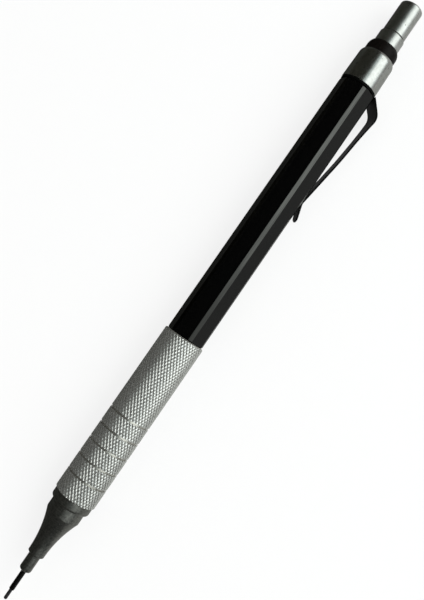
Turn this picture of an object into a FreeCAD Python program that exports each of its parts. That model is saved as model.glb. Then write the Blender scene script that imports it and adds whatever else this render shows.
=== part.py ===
import FreeCAD, Part
import math
import os

# A drafting pencil with a fixed guide sleeve, a knurled metal grip, a hexagonal barrel, a wire-thin
# pocket clip and a push button over an eraser. Millimetres. +X runs along the pencil from the mouth
# of the guide sleeve, which is the origin, to the button. +Z is up, with the pencil lying on a table:
# the grip and the clip's outer edge touch the table plane.

# ---- Driving dimensions: lengths along the pencil -------------------------------------------------
LEAD_OUT = 2.13
LEAD_LENGTH = 60.0
SLEEVE_OUT = 4.2
NOSE_LENGTH = 3.45
STEP_LENGTH = 0.3
FLARE_LENGTH = 8.8
COLLAR_LENGTH = 2.15
FLANGE_LENGTH = 1.8
GRIP_LENGTH = 37.2
BARREL_LENGTH = 62.45
CLIP_SHEET = 0.45
FERRULE_LENGTH = 7.5
GUIDE_OUT = 2.72
NECK_OUT = 2.8
CAP_LENGTH = 7.77
TIP_SPIGOT = 10.1
BARREL_TOP_SPIGOT = 4.2

# ---- Driving dimensions: radii and widths ---------------------------------------------------------
LEAD_RADIUS = 0.35
SLEEVE_WALL = 0.15
SLEEVE_SEAT_STEP = 0.18
NOSE_RADIUS = 1.25
NOSE_FACE = 0.05
STEP_RADIUS = 1.74
COLLAR_RADIUS = 3.56
FLANGE_STEP = 0.26
GRIP_RADIUS = 4.42
HEX_SIDES = 6
HEX_FLATS = 7.5
HEX_EDGE_WIDTH = 0.9
FRONT_SHOULDER = 0.15
TOP_SHOULDER = 0.22
GUIDE_WALL = 0.6
FERRULE_WALL = 0.58
CAP_STEP = 0.25
CAP_WALL = 0.24
FERRULE_TAPER = 0.12

# ---- Driving dimensions: grip grooves -------------------------------------------------------------
GROOVES = 5
GROOVE_START = 4.34
GROOVE_PITCH = 3.53
GROOVE_WIDTH = 0.36
GROOVE_DEPTH = 0.25

# ---- Driving dimensions: the lead clutch ----------------------------------------------------------
BUTTON_TRAVEL = 3.5
CLUTCH_SHARE = 0.25
JAW_COUNT = 3
JAW_OPENING_DEG = 1.2
JAW_WALL = 0.62
JAW_HEAD_RISE = 0.45
JAW_HEAD_LENGTH = 2.8
JAW_TAPER = 0.1
JAW_ARM_LENGTH = 7.5
JAW_SLOT = 0.2
JAW_STOP_GAP = 0.5
RING_SETBACK = 0.3
RING_LENGTH = 2.2
RING_WALL = 0.65
SHOULDER_LENGTH = 1.45
SPRING_LENGTH = 13.5
SPRING_TURNS = 11
SPRING_WIRE = 0.32
STEM_WALL = 0.85
STEM_COLLAR = 1.4
STEM_SPIGOT = 4.4
TUBE_WALL = 0.4
CASE_WALL = 0.45
CASE_OVERHANG = 2.0
RETAINER_DEPTH = 2.85
RETAINER_LENGTH = 2.2
RETAINER_WALL = 0.82
SPARE_LEADS = 3
SPARE_LEAD_GAP = 1.0

# ---- Driving dimensions: the pocket clip ----------------------------------------------------------
CLIP_THICKNESS = 0.36
CLIP_REACH = 30.5
CLIP_RUN = 2.85
CLIP_LIFT = 2.95
CLIP_SHOULDER_BEND = 1.7
CLIP_BOW = 0.26
CLIP_ROOT_WIDTH = 4.2
CLIP_NECK_WIDTH = 3.0
CLIP_NECK_RUN = 1.9
CLIP_WIDTH = 2.3
CLIP_TAPER_RUN = 6.0
CLIP_TOE_RISE = 1.25
CLIP_TOE_LENGTH = 3.9

# ---- Driving dimensions: the eraser under the button ----------------------------------------------
HOLDER_SPIGOT = 2.6
HOLDER_WALL = 0.25
HOLDER_SETBACK = 0.8
TUBE_SEAT = 2.5
ERASER_FLOOR = 0.85
ERASER_LENGTH = 9.9

# ---- Clearances, all radial unless they say otherwise ---------------------------------------------
RUNNING_FIT = 0.03
SLIDING_FIT = 0.08
LOOSE_FIT = 0.15
SPRING_FIT = 0.24
TUBE_ROOM = 0.6
END_GAP = 0.08
THREAD_GAP = 0.2
CLIP_ROOT_GAP = 0.03
CUT_PAST = 1.0

# ---- Stations along the axis, front to back -------------------------------------------------------
NOSE_X = SLEEVE_OUT
STEP_X = NOSE_X + NOSE_LENGTH
FLARE_X = STEP_X + STEP_LENGTH
COLLAR_X = FLARE_X + FLARE_LENGTH
FLANGE_X = COLLAR_X + COLLAR_LENGTH
GRIP_X = FLANGE_X + FLANGE_LENGTH
BARREL_X = GRIP_X + GRIP_LENGTH
CLIP_X = BARREL_X + BARREL_LENGTH
FERRULE_X = CLIP_X + CLIP_SHEET
FERRULE_END = FERRULE_X + FERRULE_LENGTH
GUIDE_END = FERRULE_END + GUIDE_OUT
NECK_END = GUIDE_END + NECK_OUT
CAP_X = NECK_END + END_GAP
CAP_END = CAP_X + CAP_LENGTH

# ---- Clutch stations: the jaws stop short of the retainer when the button is down -----------------
RETAINER_X = STEP_X + RETAINER_DEPTH
RETAINER_END = RETAINER_X + RETAINER_LENGTH
JAW_X = RETAINER_END + JAW_STOP_GAP + BUTTON_TRAVEL
HEAD_END = JAW_X + JAW_HEAD_LENGTH
JAW_END = HEAD_END + JAW_ARM_LENGTH
RING_TRAVEL = CLUTCH_SHARE * BUTTON_TRAVEL
RING_X = JAW_X + RING_SETBACK
RING_END = RING_X + RING_LENGTH
CASE_X = RING_X - RING_TRAVEL - END_GAP
SHOULDER_X = RING_END + END_GAP
SPRING_X = SHOULDER_X + SHOULDER_LENGTH
STEM_X = JAW_END + END_GAP
COLLAR_FACE_X = SPRING_X + SPRING_LENGTH
SPIGOT_X = COLLAR_FACE_X + STEM_COLLAR
STEM_END = SPIGOT_X + STEM_SPIGOT
CASE_END = STEM_END + CASE_OVERHANG
TIP_SPIGOT_END = GRIP_X + TIP_SPIGOT
BUSH_X = TIP_SPIGOT_END + THREAD_GAP
BUSH_END = CASE_END + END_GAP
BARREL_SPIGOT_X = BUSH_END + THREAD_GAP

# ---- Radii that follow from the pieces they hold --------------------------------------------------
LEAD_BORE = LEAD_RADIUS + RUNNING_FIT
SLEEVE_RADIUS = LEAD_BORE + SLEEVE_WALL
SLEEVE_SEAT_RADIUS = SLEEVE_RADIUS + SLEEVE_SEAT_STEP
RETAINER_RADIUS = LEAD_BORE + RETAINER_WALL
ARM_RADIUS = LEAD_BORE + JAW_WALL
HEAD_RADIUS = ARM_RADIUS + JAW_HEAD_RISE
HEAD_BACK_RADIUS = HEAD_RADIUS - JAW_TAPER * JAW_HEAD_LENGTH
JAW_SWING = (JAW_END - JAW_X) * math.sin(math.radians(JAW_OPENING_DEG))
CHAMBER_RADIUS = HEAD_RADIUS + JAW_SWING + SLIDING_FIT
RING_RADIUS = HEAD_RADIUS + RING_WALL
SHOULDER_BORE = HEAD_BACK_RADIUS + LOOSE_FIT
STEM_BORE = LEAD_RADIUS + SLIDING_FIT
STEM_RADIUS = STEM_BORE + STEM_WALL
SPRING_RADIUS = STEM_RADIUS + SPRING_FIT + SPRING_WIRE / 2
CASE_BORE = SPRING_RADIUS + SPRING_WIRE / 2 + SPRING_FIT
CASE_RADIUS = CASE_BORE + CASE_WALL
TUBE_RADIUS = CASE_BORE - LOOSE_FIT
TUBE_BORE = TUBE_RADIUS - TUBE_WALL
STEM_COLLAR_RADIUS = CASE_BORE - SLIDING_FIT
BARREL_BORE = TUBE_RADIUS + TUBE_ROOM
FLANGE_RADIUS = GRIP_RADIUS - FLANGE_STEP
GRIP_BORE = HEX_FLATS / 2 - FRONT_SHOULDER
HEX_CORNER = HEX_FLATS / 2 / math.cos(math.pi / HEX_SIDES)

# ---- The top end ----------------------------------------------------------------------------------
FERRULE_BORE = HEX_FLATS / 2 - TOP_SHOULDER
FERRULE_RADIUS = FERRULE_BORE + FERRULE_WALL
GUIDE_RADIUS = FERRULE_BORE
GUIDE_BORE = GUIDE_RADIUS - GUIDE_WALL
NECK_RADIUS = GUIDE_BORE - SLIDING_FIT
CAP_RADIUS = NECK_RADIUS - CAP_STEP
FERRULE_TOP_RADIUS = FERRULE_RADIUS - FERRULE_TAPER
SPIGOT_BORE = NECK_RADIUS + LOOSE_FIT
BARREL_SPIGOT_END = FERRULE_X + BARREL_TOP_SPIGOT
GUIDE_X = BARREL_SPIGOT_END + THREAD_GAP
HOLDER_X = GUIDE_X + HOLDER_SETBACK
TUBE_END = HOLDER_X + TUBE_SEAT
ERASER_X = TUBE_END + ERASER_FLOOR
ERASER_END = ERASER_X + ERASER_LENGTH
HOLDER_END = NECK_END + HOLDER_SPIGOT
CAP_BORE = CAP_RADIUS - CAP_WALL
HOLDER_SPIGOT_RADIUS = CAP_BORE - RUNNING_FIT
ERASER_BORE = HOLDER_SPIGOT_RADIUS - HOLDER_WALL
ERASER_RADIUS = ERASER_BORE - RUNNING_FIT

# ---- The clip, in its own plane: x along the pencil, height above the axis ------------------------
CLIP_BORE = FERRULE_BORE + RUNNING_FIT
CLIP_RING_RADIUS = FERRULE_RADIUS - END_GAP
CLIP_ROOT_X = CLIP_X + CLIP_SHEET / 2 - CLIP_ROOT_GAP
CLIP_ROOT_HEIGHT = HEX_FLATS / 2 + 2 * CLIP_ROOT_GAP
CLIP_TOE_X = CLIP_X - CLIP_REACH
CLIP_TOUCH_X = CLIP_TOE_X + CLIP_TOE_LENGTH
CLIP_TOUCH_HEIGHT = HEX_FLATS / 2 + END_GAP + CLIP_THICKNESS / 2
CLIP_SHOULDER_X = CLIP_X - CLIP_RUN
CLIP_SHOULDER_HEIGHT = HEX_FLATS / 2 + CLIP_LIFT + CLIP_THICKNESS / 2
CLIP_BOW_X = (CLIP_SHOULDER_X + CLIP_TOUCH_X) / 2
CLIP_BOW_HEIGHT = (CLIP_SHOULDER_HEIGHT + CLIP_TOUCH_HEIGHT) / 2 + CLIP_BOW


def clip_crest():
    """Height of the highest line across the clip's rounded shoulder."""
    climb = math.atan2(CLIP_SHOULDER_HEIGHT - CLIP_ROOT_HEIGHT, CLIP_ROOT_X - CLIP_SHOULDER_X)
    fall = math.atan2(CLIP_SHOULDER_HEIGHT - CLIP_BOW_HEIGHT, CLIP_SHOULDER_X - CLIP_BOW_X)
    cut_off = CLIP_SHOULDER_BEND * (math.cos((climb - fall) / 2) / math.cos((climb + fall) / 2) - 1)
    return CLIP_SHOULDER_HEIGHT - cut_off + CLIP_THICKNESS / 2


def resting_turn():
    """Turn about the axis, in degrees, that lays the clip's corner and the grip on one plane."""
    height = clip_crest()
    half_width = CLIP_ROOT_WIDTH / 2
    corner = math.hypot(height, half_width)
    dip = math.degrees(math.asin(GRIP_RADIUS / corner) - math.atan2(half_width, height))
    return 90 + dip


CLIP_TURN_DEG = resting_turn()

ORIGIN = FreeCAD.Vector(0, 0, 0)
X_AXIS = FreeCAD.Vector(1, 0, 0)


def point(x, radius):
    """A point of an outline, drawn in the plane above the axis."""
    return FreeCAD.Vector(x, 0, radius)


def tangent_arc(level, other):
    """An arc that runs along the axis at one point and passes through the other."""
    run = other[0] - level[0]
    rise = other[1] - level[1]
    radius = (run ** 2 + rise ** 2) / (2 * abs(rise))
    half_turn = math.asin(min(1, abs(run) / radius)) / 2
    middle_x = level[0] + math.copysign(radius * math.sin(half_turn), run)
    middle_r = level[1] + math.copysign(radius * (1 - math.cos(half_turn)), rise)
    return Part.Arc(point(*level), point(middle_x, middle_r), point(*other)).toShape()


LEAVES = "leaves"
ARRIVES = "arrives"


def lathe(outline):
    """Turn a closed outline of (x, radius) points about the axis. A third value makes the run that
    ends at the point an arc, which is along the axis where it leaves or where it arrives."""
    edges = []
    for start, end in zip(outline, outline[1:] + outline[:1]):
        style = end[2] if len(end) > 2 else None
        first = start[:2]
        last = end[:2]
        if style == LEAVES:
            edges.append(tangent_arc(first, last))
        elif style == ARRIVES:
            edges.append(tangent_arc(last, first))
        else:
            edges.append(Part.LineSegment(point(*first), point(*last)).toShape())
    face = Part.Face(Part.Wire(Part.__sortEdges__(edges)))
    solid = face.revolve(ORIGIN, X_AXIS, 360)
    return solid if solid.ShapeType == "Solid" else solid.Solids[0]


def rod(start, end, radius):
    """A plain round rod on the axis."""
    return Part.makeCylinder(radius, end - start, FreeCAD.Vector(start, 0, 0), X_AXIS)


def tube(start, end, radius, bore):
    """A plain round tube on the axis."""
    return rod(start, end, radius).cut(rod(start - CUT_PAST, end + CUT_PAST, bore))


def turned_to_clip(shape):
    """A shape drawn with the clip straight up, turned to where the clip lies."""
    return shape.rotated(ORIGIN, X_AXIS, CLIP_TURN_DEG)


# ---- Lead and its guide ---------------------------------------------------------------------------

def lead():
    worn = 0.1
    end = LEAD_LENGTH - LEAD_OUT
    return lathe([(-LEAD_OUT, 0), (-LEAD_OUT, LEAD_RADIUS - worn), (-LEAD_OUT + worn, LEAD_RADIUS),
                  (end, LEAD_RADIUS), (end, 0)])


def guide_sleeve():
    """A thin tube with a chamfered mouth, and a thicker root that is pressed into the tip."""
    mouth = 0.12
    return lathe([(0, LEAD_BORE), (0, SLEEVE_RADIUS - mouth), (2 * mouth, SLEEVE_RADIUS),
                  (NOSE_X, SLEEVE_RADIUS), (NOSE_X, SLEEVE_SEAT_RADIUS),
                  (RETAINER_X, SLEEVE_SEAT_RADIUS), (RETAINER_X, LEAD_BORE)])


def tip_cone():
    nose_round = NOSE_RADIUS - SLEEVE_SEAT_RADIUS - NOSE_FACE
    flange_round = 0.55
    outside = [(NOSE_X, SLEEVE_SEAT_RADIUS), (NOSE_X, NOSE_RADIUS - nose_round),
               (NOSE_X + nose_round, NOSE_RADIUS, ARRIVES), (STEP_X, NOSE_RADIUS),
               (FLARE_X, STEP_RADIUS), (COLLAR_X, COLLAR_RADIUS, LEAVES), (FLANGE_X, COLLAR_RADIUS),
               (FLANGE_X + flange_round, FLANGE_RADIUS, ARRIVES), (GRIP_X, FLANGE_RADIUS),
               (GRIP_X, GRIP_BORE), (TIP_SPIGOT_END, GRIP_BORE)]
    inside = [(TIP_SPIGOT_END, CASE_RADIUS), (CASE_X, CASE_RADIUS), (CASE_X, CHAMBER_RADIUS),
              (RETAINER_END, CHAMBER_RADIUS), (RETAINER_END, RETAINER_RADIUS),
              (RETAINER_X, RETAINER_RADIUS), (RETAINER_X, SLEEVE_SEAT_RADIUS)]
    return lathe(outside + inside)


def lead_retainer():
    return tube(RETAINER_X, RETAINER_END, RETAINER_RADIUS, LEAD_BORE)


def spare_leads():
    """Spare leads lying side by side on the floor of the lead tube."""
    offset = TUBE_BORE - LEAD_RADIUS - END_GAP
    spread = 2 * math.degrees(math.asin((LEAD_RADIUS + RUNNING_FIT) / offset))
    start = STEM_END + SPARE_LEAD_GAP
    leads = []
    for number in range(SPARE_LEADS):
        angle = 180 + spread * (number - (SPARE_LEADS - 1) / 2)
        stick = Part.makeCylinder(LEAD_RADIUS, LEAD_LENGTH, FreeCAD.Vector(start, 0, offset), X_AXIS)
        leads.append(stick.rotated(ORIGIN, X_AXIS, angle))
    return Part.makeCompound(leads)


# ---- Clutch ---------------------------------------------------------------------------------------

def jaws():
    """The collet's slotted head, as one solid for each jaw."""
    head = lathe([(JAW_X, LEAD_BORE), (JAW_X, HEAD_RADIUS), (HEAD_END, HEAD_BACK_RADIUS),
                  (HEAD_END, ARM_RADIUS), (JAW_END, ARM_RADIUS), (JAW_END, LEAD_BORE)])
    for number in range(JAW_COUNT):
        corner = FreeCAD.Vector(JAW_X - CUT_PAST, -JAW_SLOT / 2, 0)
        slot = Part.makeBox(JAW_END - JAW_X + 2 * CUT_PAST, JAW_SLOT, 2 * HEAD_RADIUS, corner)
        head = head.cut(slot.rotated(ORIGIN, X_AXIS, 360 / JAW_COUNT * (number + 0.5)))
    return head.Solids


def jaw(number):
    """The jaw that lies at its turn about the axis; number 0 points up."""
    turn = math.radians(360 / JAW_COUNT * number)
    way = FreeCAD.Vector(0, -math.sin(turn), math.cos(turn))
    return max(jaws(), key=lambda solid: solid.CenterOfMass.dot(way))


def clutch_ring():
    front_bore = HEAD_RADIUS - JAW_TAPER * (RING_X - JAW_X) + RUNNING_FIT
    back_bore = front_bore - JAW_TAPER * RING_LENGTH
    edge = 0.15
    return lathe([(RING_X, front_bore), (RING_X, RING_RADIUS - edge), (RING_X + edge, RING_RADIUS),
                  (RING_END - edge, RING_RADIUS), (RING_END, RING_RADIUS - edge),
                  (RING_END, back_bore)])


def clutch_case():
    pocket = RING_RADIUS + SLIDING_FIT
    return lathe([(CASE_X, pocket), (CASE_X, CASE_RADIUS), (CASE_END, CASE_RADIUS),
                  (CASE_END, CASE_BORE), (SPRING_X, CASE_BORE), (SPRING_X, SHOULDER_BORE),
                  (SHOULDER_X, SHOULDER_BORE), (SHOULDER_X, pocket)])


def collet_stem():
    cone = 0.6
    return lathe([(STEM_X, STEM_BORE), (STEM_X, ARM_RADIUS), (STEM_X + cone, STEM_RADIUS),
                  (COLLAR_FACE_X, STEM_RADIUS), (COLLAR_FACE_X, STEM_COLLAR_RADIUS),
                  (SPIGOT_X, STEM_COLLAR_RADIUS), (SPIGOT_X, TUBE_BORE), (STEM_END, TUBE_BORE),
                  (STEM_END, STEM_BORE)])


def return_spring():
    """A round-wire compression spring between the case's shoulder and the stem's collar."""
    seat_gap = 0.01
    wire_gap = SPRING_WIRE / 2 + seat_gap
    height = SPRING_LENGTH - 2 * wire_gap
    coil = Part.makeHelix(height / SPRING_TURNS, height, SPRING_RADIUS)
    start = FreeCAD.Vector(SPRING_RADIUS, 0, 0)
    section = Part.Wire(Part.makeCircle(SPRING_WIRE / 2, start, FreeCAD.Vector(0, 1, 0)))
    solid = Part.Wire(coil).makePipeShell([section], True, True)
    solid.rotate(ORIGIN, FreeCAD.Vector(0, 1, 0), 90)
    solid.translate(FreeCAD.Vector(SPRING_X + wire_gap, 0, 0))
    return solid


def lead_tube():
    return tube(SPIGOT_X, TUBE_END, TUBE_RADIUS, TUBE_BORE)


# ---- Grip and barrel ------------------------------------------------------------------------------

def thread_bush():
    return tube(BUSH_X, BUSH_END, GRIP_BORE, CASE_RADIUS)


def grip_sleeve():
    edge = 0.3
    grip = lathe([(GRIP_X, GRIP_BORE), (GRIP_X, GRIP_RADIUS - edge), (GRIP_X + edge, GRIP_RADIUS),
                  (BARREL_X - edge, GRIP_RADIUS), (BARREL_X, GRIP_RADIUS - edge),
                  (BARREL_X, GRIP_BORE)])
    for number in range(GROOVES):
        middle = GRIP_X + GROOVE_START + number * GROOVE_PITCH
        groove = tube(middle - GROOVE_WIDTH / 2, middle + GROOVE_WIDTH / 2,
                      GRIP_RADIUS + CUT_PAST, GRIP_RADIUS - GROOVE_DEPTH)
        grip = grip.cut(groove)
    return grip


def hexagon():
    """The barrel's six-sided length, its edges cut flat, one side straight up."""
    corners = []
    for number in range(HEX_SIDES + 1):
        angle = 2 * math.pi / HEX_SIDES * number
        corners.append(FreeCAD.Vector(BARREL_X, HEX_CORNER * math.cos(angle),
                                      HEX_CORNER * math.sin(angle)))
    prism = Part.Face(Part.makePolygon(corners)).extrude(FreeCAD.Vector(BARREL_LENGTH, 0, 0))
    long_edges = [edge for edge in prism.Edges if edge.Length > HEX_FLATS]
    cut = HEX_EDGE_WIDTH / (2 * math.cos(math.pi / HEX_SIDES))
    return prism.makeChamfer(cut, long_edges)


def barrel():
    """The barrel's ends are turned to a circle, and a spigot at each end holds its neighbour."""
    end_radius = HEX_FLATS / 2 + 0.1
    chamfer = HEX_CORNER - end_radius
    top_chamfer = 1.6 * chamfer
    holder_room = 0.6
    blank = lathe([(BARREL_X, 0), (BARREL_X, end_radius), (BARREL_X + chamfer, HEX_CORNER),
                   (CLIP_X - top_chamfer, HEX_CORNER), (CLIP_X, end_radius), (CLIP_X, 0)])
    body = hexagon().common(blank)
    body = body.fuse(rod(BARREL_SPIGOT_X, BARREL_X, GRIP_BORE))
    body = body.fuse(rod(CLIP_X, BARREL_SPIGOT_END, FERRULE_BORE))
    body = body.cut(rod(BARREL_SPIGOT_X - CUT_PAST, BARREL_SPIGOT_END + CUT_PAST, BARREL_BORE))
    holder_stop = HOLDER_X - BUTTON_TRAVEL - holder_room
    body = body.cut(rod(holder_stop, BARREL_SPIGOT_END + CUT_PAST, SPIGOT_BORE))
    return turned_to_clip(body.removeSplitter())


# ---- Pocket clip ----------------------------------------------------------------------------------

def clip_ring():
    """The clip's washer, clamped between barrel and ferrule, flat where the arm grows from it."""
    washer = tube(CLIP_X, FERRULE_X, CLIP_RING_RADIUS, CLIP_BORE)
    above = FreeCAD.Vector(CLIP_X, -CLIP_RING_RADIUS, CLIP_ROOT_HEIGHT - CLIP_ROOT_GAP)
    rim = Part.makeBox(CLIP_SHEET, 2 * CLIP_RING_RADIUS, CLIP_RING_RADIUS, above)
    return turned_to_clip(washer.cut(rim))


def offset_corner(before, corner, after, distance):
    """The corner of a line that runs beside a bent line, at a distance to its left."""
    ways = []
    for start, end in ((before, corner), (corner, after)):
        length = math.hypot(end[0] - start[0], end[1] - start[1])
        ways.append(((end[0] - start[0]) / length, (end[1] - start[1]) / length))
    normal_x = -ways[0][1] - ways[1][1]
    normal_z = ways[0][0] + ways[1][0]
    scale = 2 * distance / (normal_x ** 2 + normal_z ** 2)
    return (corner[0] + normal_x * scale, corner[1] + normal_z * scale)


def strip_side(path, distance):
    """One side of the clip's strip, as the corners of its bent line moved sideways."""
    side = []
    for number, corner in enumerate(path):
        before = path[number - 1] if number > 0 else None
        after = path[number + 1] if number < len(path) - 1 else None
        if before is None:
            before = (2 * corner[0] - after[0], 2 * corner[1] - after[1])
        if after is None:
            after = (2 * corner[0] - before[0], 2 * corner[1] - before[1])
        side.append(offset_corner(before, corner, after, distance))
    return side


def rounded_run(corners, radii):
    """Edges along a bent line, each inner corner rounded to its radius."""
    edges = []
    start = FreeCAD.Vector(corners[0][0], 0, corners[0][1])
    for number in range(1, len(corners) - 1):
        middle = FreeCAD.Vector(corners[number][0], 0, corners[number][1])
        before = FreeCAD.Vector(corners[number - 1][0], 0, corners[number - 1][1])
        after = FreeCAD.Vector(corners[number + 1][0], 0, corners[number + 1][1])
        back = (before - middle).normalize()
        ahead = (after - middle).normalize()
        half = back.getAngle(ahead) / 2
        reach = radii[number - 1] / math.tan(half)
        inward = (back + ahead).normalize()
        first = middle + back * reach
        last = middle + ahead * reach
        crown = middle + inward * (radii[number - 1] / math.sin(half) - radii[number - 1])
        edges.append(Part.LineSegment(start, first).toShape())
        edges.append(Part.Arc(first, crown, last).toShape())
        start = last
    edges.append(Part.LineSegment(start, FreeCAD.Vector(corners[-1][0], 0, corners[-1][1])).toShape())
    return edges


def clip_arm():
    """The clip's spring arm: up from the washer, over a shoulder, down to where it touches the
    barrel, and up again at the toe, tapered in plan and round at its end."""
    below_root = 1.2
    start_x = CLIP_SHOULDER_X + below_root * (CLIP_ROOT_X - CLIP_SHOULDER_X)
    start_height = CLIP_SHOULDER_HEIGHT + below_root * (CLIP_ROOT_HEIGHT - CLIP_SHOULDER_HEIGHT)
    path = [(start_x, start_height), (CLIP_SHOULDER_X, CLIP_SHOULDER_HEIGHT),
            (CLIP_BOW_X, CLIP_BOW_HEIGHT), (CLIP_TOUCH_X, CLIP_TOUCH_HEIGHT),
            (CLIP_TOE_X, CLIP_TOUCH_HEIGHT + CLIP_TOE_RISE)]
    bow_bend = 80.0
    touch_bend = 1.6
    bends = [CLIP_SHOULDER_BEND, bow_bend, touch_bend]
    turns = [1, 1, -1]
    half = CLIP_THICKNESS / 2
    inner_bends = [bend - turn * half for bend, turn in zip(bends, turns)]
    outer_bends = [bend + turn * half for bend, turn in zip(bends, turns)]
    inner = strip_side(path, half)
    outer = strip_side(path, -half)
    edges = rounded_run(inner, inner_bends) + rounded_run(outer, outer_bends)
    for end in (0, -1):
        first = FreeCAD.Vector(inner[end][0], 0, inner[end][1])
        last = FreeCAD.Vector(outer[end][0], 0, outer[end][1])
        edges.append(Part.LineSegment(first, last).toShape())
    side_view = Part.Face(Part.Wire(Part.__sortEdges__(edges)))
    strip = side_view.extrude(FreeCAD.Vector(0, CLIP_ROOT_WIDTH, 0))
    strip.translate(FreeCAD.Vector(0, -CLIP_ROOT_WIDTH / 2, 0))
    under_root = FreeCAD.Vector(CLIP_X - CLIP_SHEET, -CLIP_ROOT_WIDTH, 0)
    stub = Part.makeBox(4 * CLIP_SHEET, 2 * CLIP_ROOT_WIDTH, CLIP_ROOT_HEIGHT, under_root)
    return turned_to_clip(strip.cut(stub).common(clip_plan()))


def clip_plan():
    """The arm seen from above, as a block: wide at the root, slim along the barrel, round toe."""
    toe = CLIP_WIDTH / 2
    stations = [(FERRULE_X, CLIP_ROOT_WIDTH / 2), (CLIP_SHOULDER_X, CLIP_ROOT_WIDTH / 2),
                (CLIP_SHOULDER_X - CLIP_NECK_RUN, CLIP_NECK_WIDTH / 2),
                (CLIP_SHOULDER_X - CLIP_TAPER_RUN, toe), (CLIP_TOE_X + toe, toe)]
    one_side = [FreeCAD.Vector(x, width, 0) for x, width in stations]
    other_side = [FreeCAD.Vector(x, -width, 0) for x, width in reversed(stations)]
    outline = Part.makePolygon(one_side).Edges + Part.makePolygon(other_side).Edges
    outline.append(Part.LineSegment(other_side[-1], one_side[0]).toShape())
    end = FreeCAD.Vector(CLIP_TOE_X, 0, 0)
    outline.append(Part.Arc(one_side[-1], end, other_side[0]).toShape())
    face = Part.Face(Part.Wire(Part.__sortEdges__(outline)))
    return face.extrude(FreeCAD.Vector(0, 0, 2 * CLIP_SHOULDER_HEIGHT))


# ---- Top end --------------------------------------------------------------------------------------

def ferrule():
    edge = 0.05
    lip = 0.08
    shoulder = 1.05
    return lathe([(FERRULE_X, FERRULE_BORE), (FERRULE_X, FERRULE_RADIUS - edge),
                  (FERRULE_X + edge, FERRULE_RADIUS),
                  (FERRULE_END - shoulder, FERRULE_TOP_RADIUS),
                  (FERRULE_END, FERRULE_BORE + lip, LEAVES), (FERRULE_END, FERRULE_BORE)])


def guide_ring():
    lip = 0.1
    dome = 1.42
    return lathe([(GUIDE_X, GUIDE_BORE), (GUIDE_X, GUIDE_RADIUS), (GUIDE_END - dome, GUIDE_RADIUS),
                  (GUIDE_END, GUIDE_BORE + lip, LEAVES), (GUIDE_END, GUIDE_BORE)])


def eraser_holder():
    edge = 0.12
    return lathe([(HOLDER_X, TUBE_RADIUS), (HOLDER_X, NECK_RADIUS), (NECK_END - edge, NECK_RADIUS),
                  (NECK_END, NECK_RADIUS - edge), (NECK_END, HOLDER_SPIGOT_RADIUS),
                  (HOLDER_END, HOLDER_SPIGOT_RADIUS), (HOLDER_END, ERASER_BORE),
                  (ERASER_X - END_GAP, ERASER_BORE), (ERASER_X - END_GAP, TUBE_BORE),
                  (TUBE_END, TUBE_BORE), (TUBE_END, TUBE_RADIUS)])


def eraser():
    edge = 0.25
    return lathe([(ERASER_X, 0), (ERASER_X, ERASER_RADIUS), (ERASER_END - edge, ERASER_RADIUS),
                  (ERASER_END, ERASER_RADIUS - edge), (ERASER_END, 0)])


def button_cap():
    top_round = 0.6
    end_wall = 0.75
    edge = 0.08
    return lathe([(CAP_X, CAP_BORE), (CAP_X, CAP_RADIUS - edge), (CAP_X + edge, CAP_RADIUS),
                  (CAP_END - top_round, CAP_RADIUS), (CAP_END, CAP_RADIUS - top_round, LEAVES),
                  (CAP_END, 0), (CAP_END - end_wall, 0), (CAP_END - end_wall, CAP_BORE)])


# ---- Every piece by name --------------------------------------------------------------------------

PIECES = {
    "lead": lead,
    "guide_sleeve": guide_sleeve,
    "tip_cone": tip_cone,
    "lead_retainer": lead_retainer,
    "spare_leads": spare_leads,
    "clutch_ring": clutch_ring,
    "clutch_case": clutch_case,
    "collet_stem": collet_stem,
    "return_spring": return_spring,
    "lead_tube": lead_tube,
    "thread_bush": thread_bush,
    "grip_sleeve": grip_sleeve,
    "barrel": barrel,
    "clip_ring": clip_ring,
    "clip_arm": clip_arm,
    "ferrule": ferrule,
    "guide_ring": guide_ring,
    "eraser_holder": eraser_holder,
    "eraser": eraser,
    "button_cap": button_cap,
}


def write_pieces():
    os.makedirs("parts", exist_ok=True)
    shapes = {name: make() for name, make in PIECES.items()}
    for number in range(JAW_COUNT):
        shapes["collet_jaw_%d" % (number + 1)] = jaw(number)
    for name, shape in shapes.items():
        assert shape.isValid(), name
        shape.exportStep("parts/%s.step" % name)
        print("%-15s solids %d  volume %9.3f mm3" % (name, len(shape.Solids), shape.Volume))


write_pieces()
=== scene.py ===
import bpy
import math
from mathutils import Matrix, Vector


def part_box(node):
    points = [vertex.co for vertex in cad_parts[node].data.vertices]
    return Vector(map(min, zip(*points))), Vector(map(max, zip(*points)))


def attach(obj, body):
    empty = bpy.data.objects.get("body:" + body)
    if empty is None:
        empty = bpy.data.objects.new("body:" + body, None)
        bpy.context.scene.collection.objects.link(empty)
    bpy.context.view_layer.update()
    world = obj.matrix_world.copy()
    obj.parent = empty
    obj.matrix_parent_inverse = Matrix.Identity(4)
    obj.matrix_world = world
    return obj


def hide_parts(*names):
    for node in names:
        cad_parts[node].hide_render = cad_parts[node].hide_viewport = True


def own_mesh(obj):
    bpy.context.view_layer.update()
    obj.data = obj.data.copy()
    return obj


# A drafting pencil lying on a pale table: knurled grip, dark turned tip, black hexagonal barrel with
# a pocket clip, and a bright push button. Metres. +X runs along the pencil to the button, +Z is up.

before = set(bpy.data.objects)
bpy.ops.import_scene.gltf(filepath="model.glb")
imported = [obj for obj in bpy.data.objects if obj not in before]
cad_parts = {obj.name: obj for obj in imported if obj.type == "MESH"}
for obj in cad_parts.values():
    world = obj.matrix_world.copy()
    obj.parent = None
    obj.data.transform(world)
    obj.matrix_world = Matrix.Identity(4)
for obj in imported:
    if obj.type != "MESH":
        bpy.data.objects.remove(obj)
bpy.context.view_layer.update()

MM = 0.001
MICRON = 0.001 * MM
QUARTER = math.pi / 2
NEAR = 1e-7
WELD = 1e-6

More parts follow.
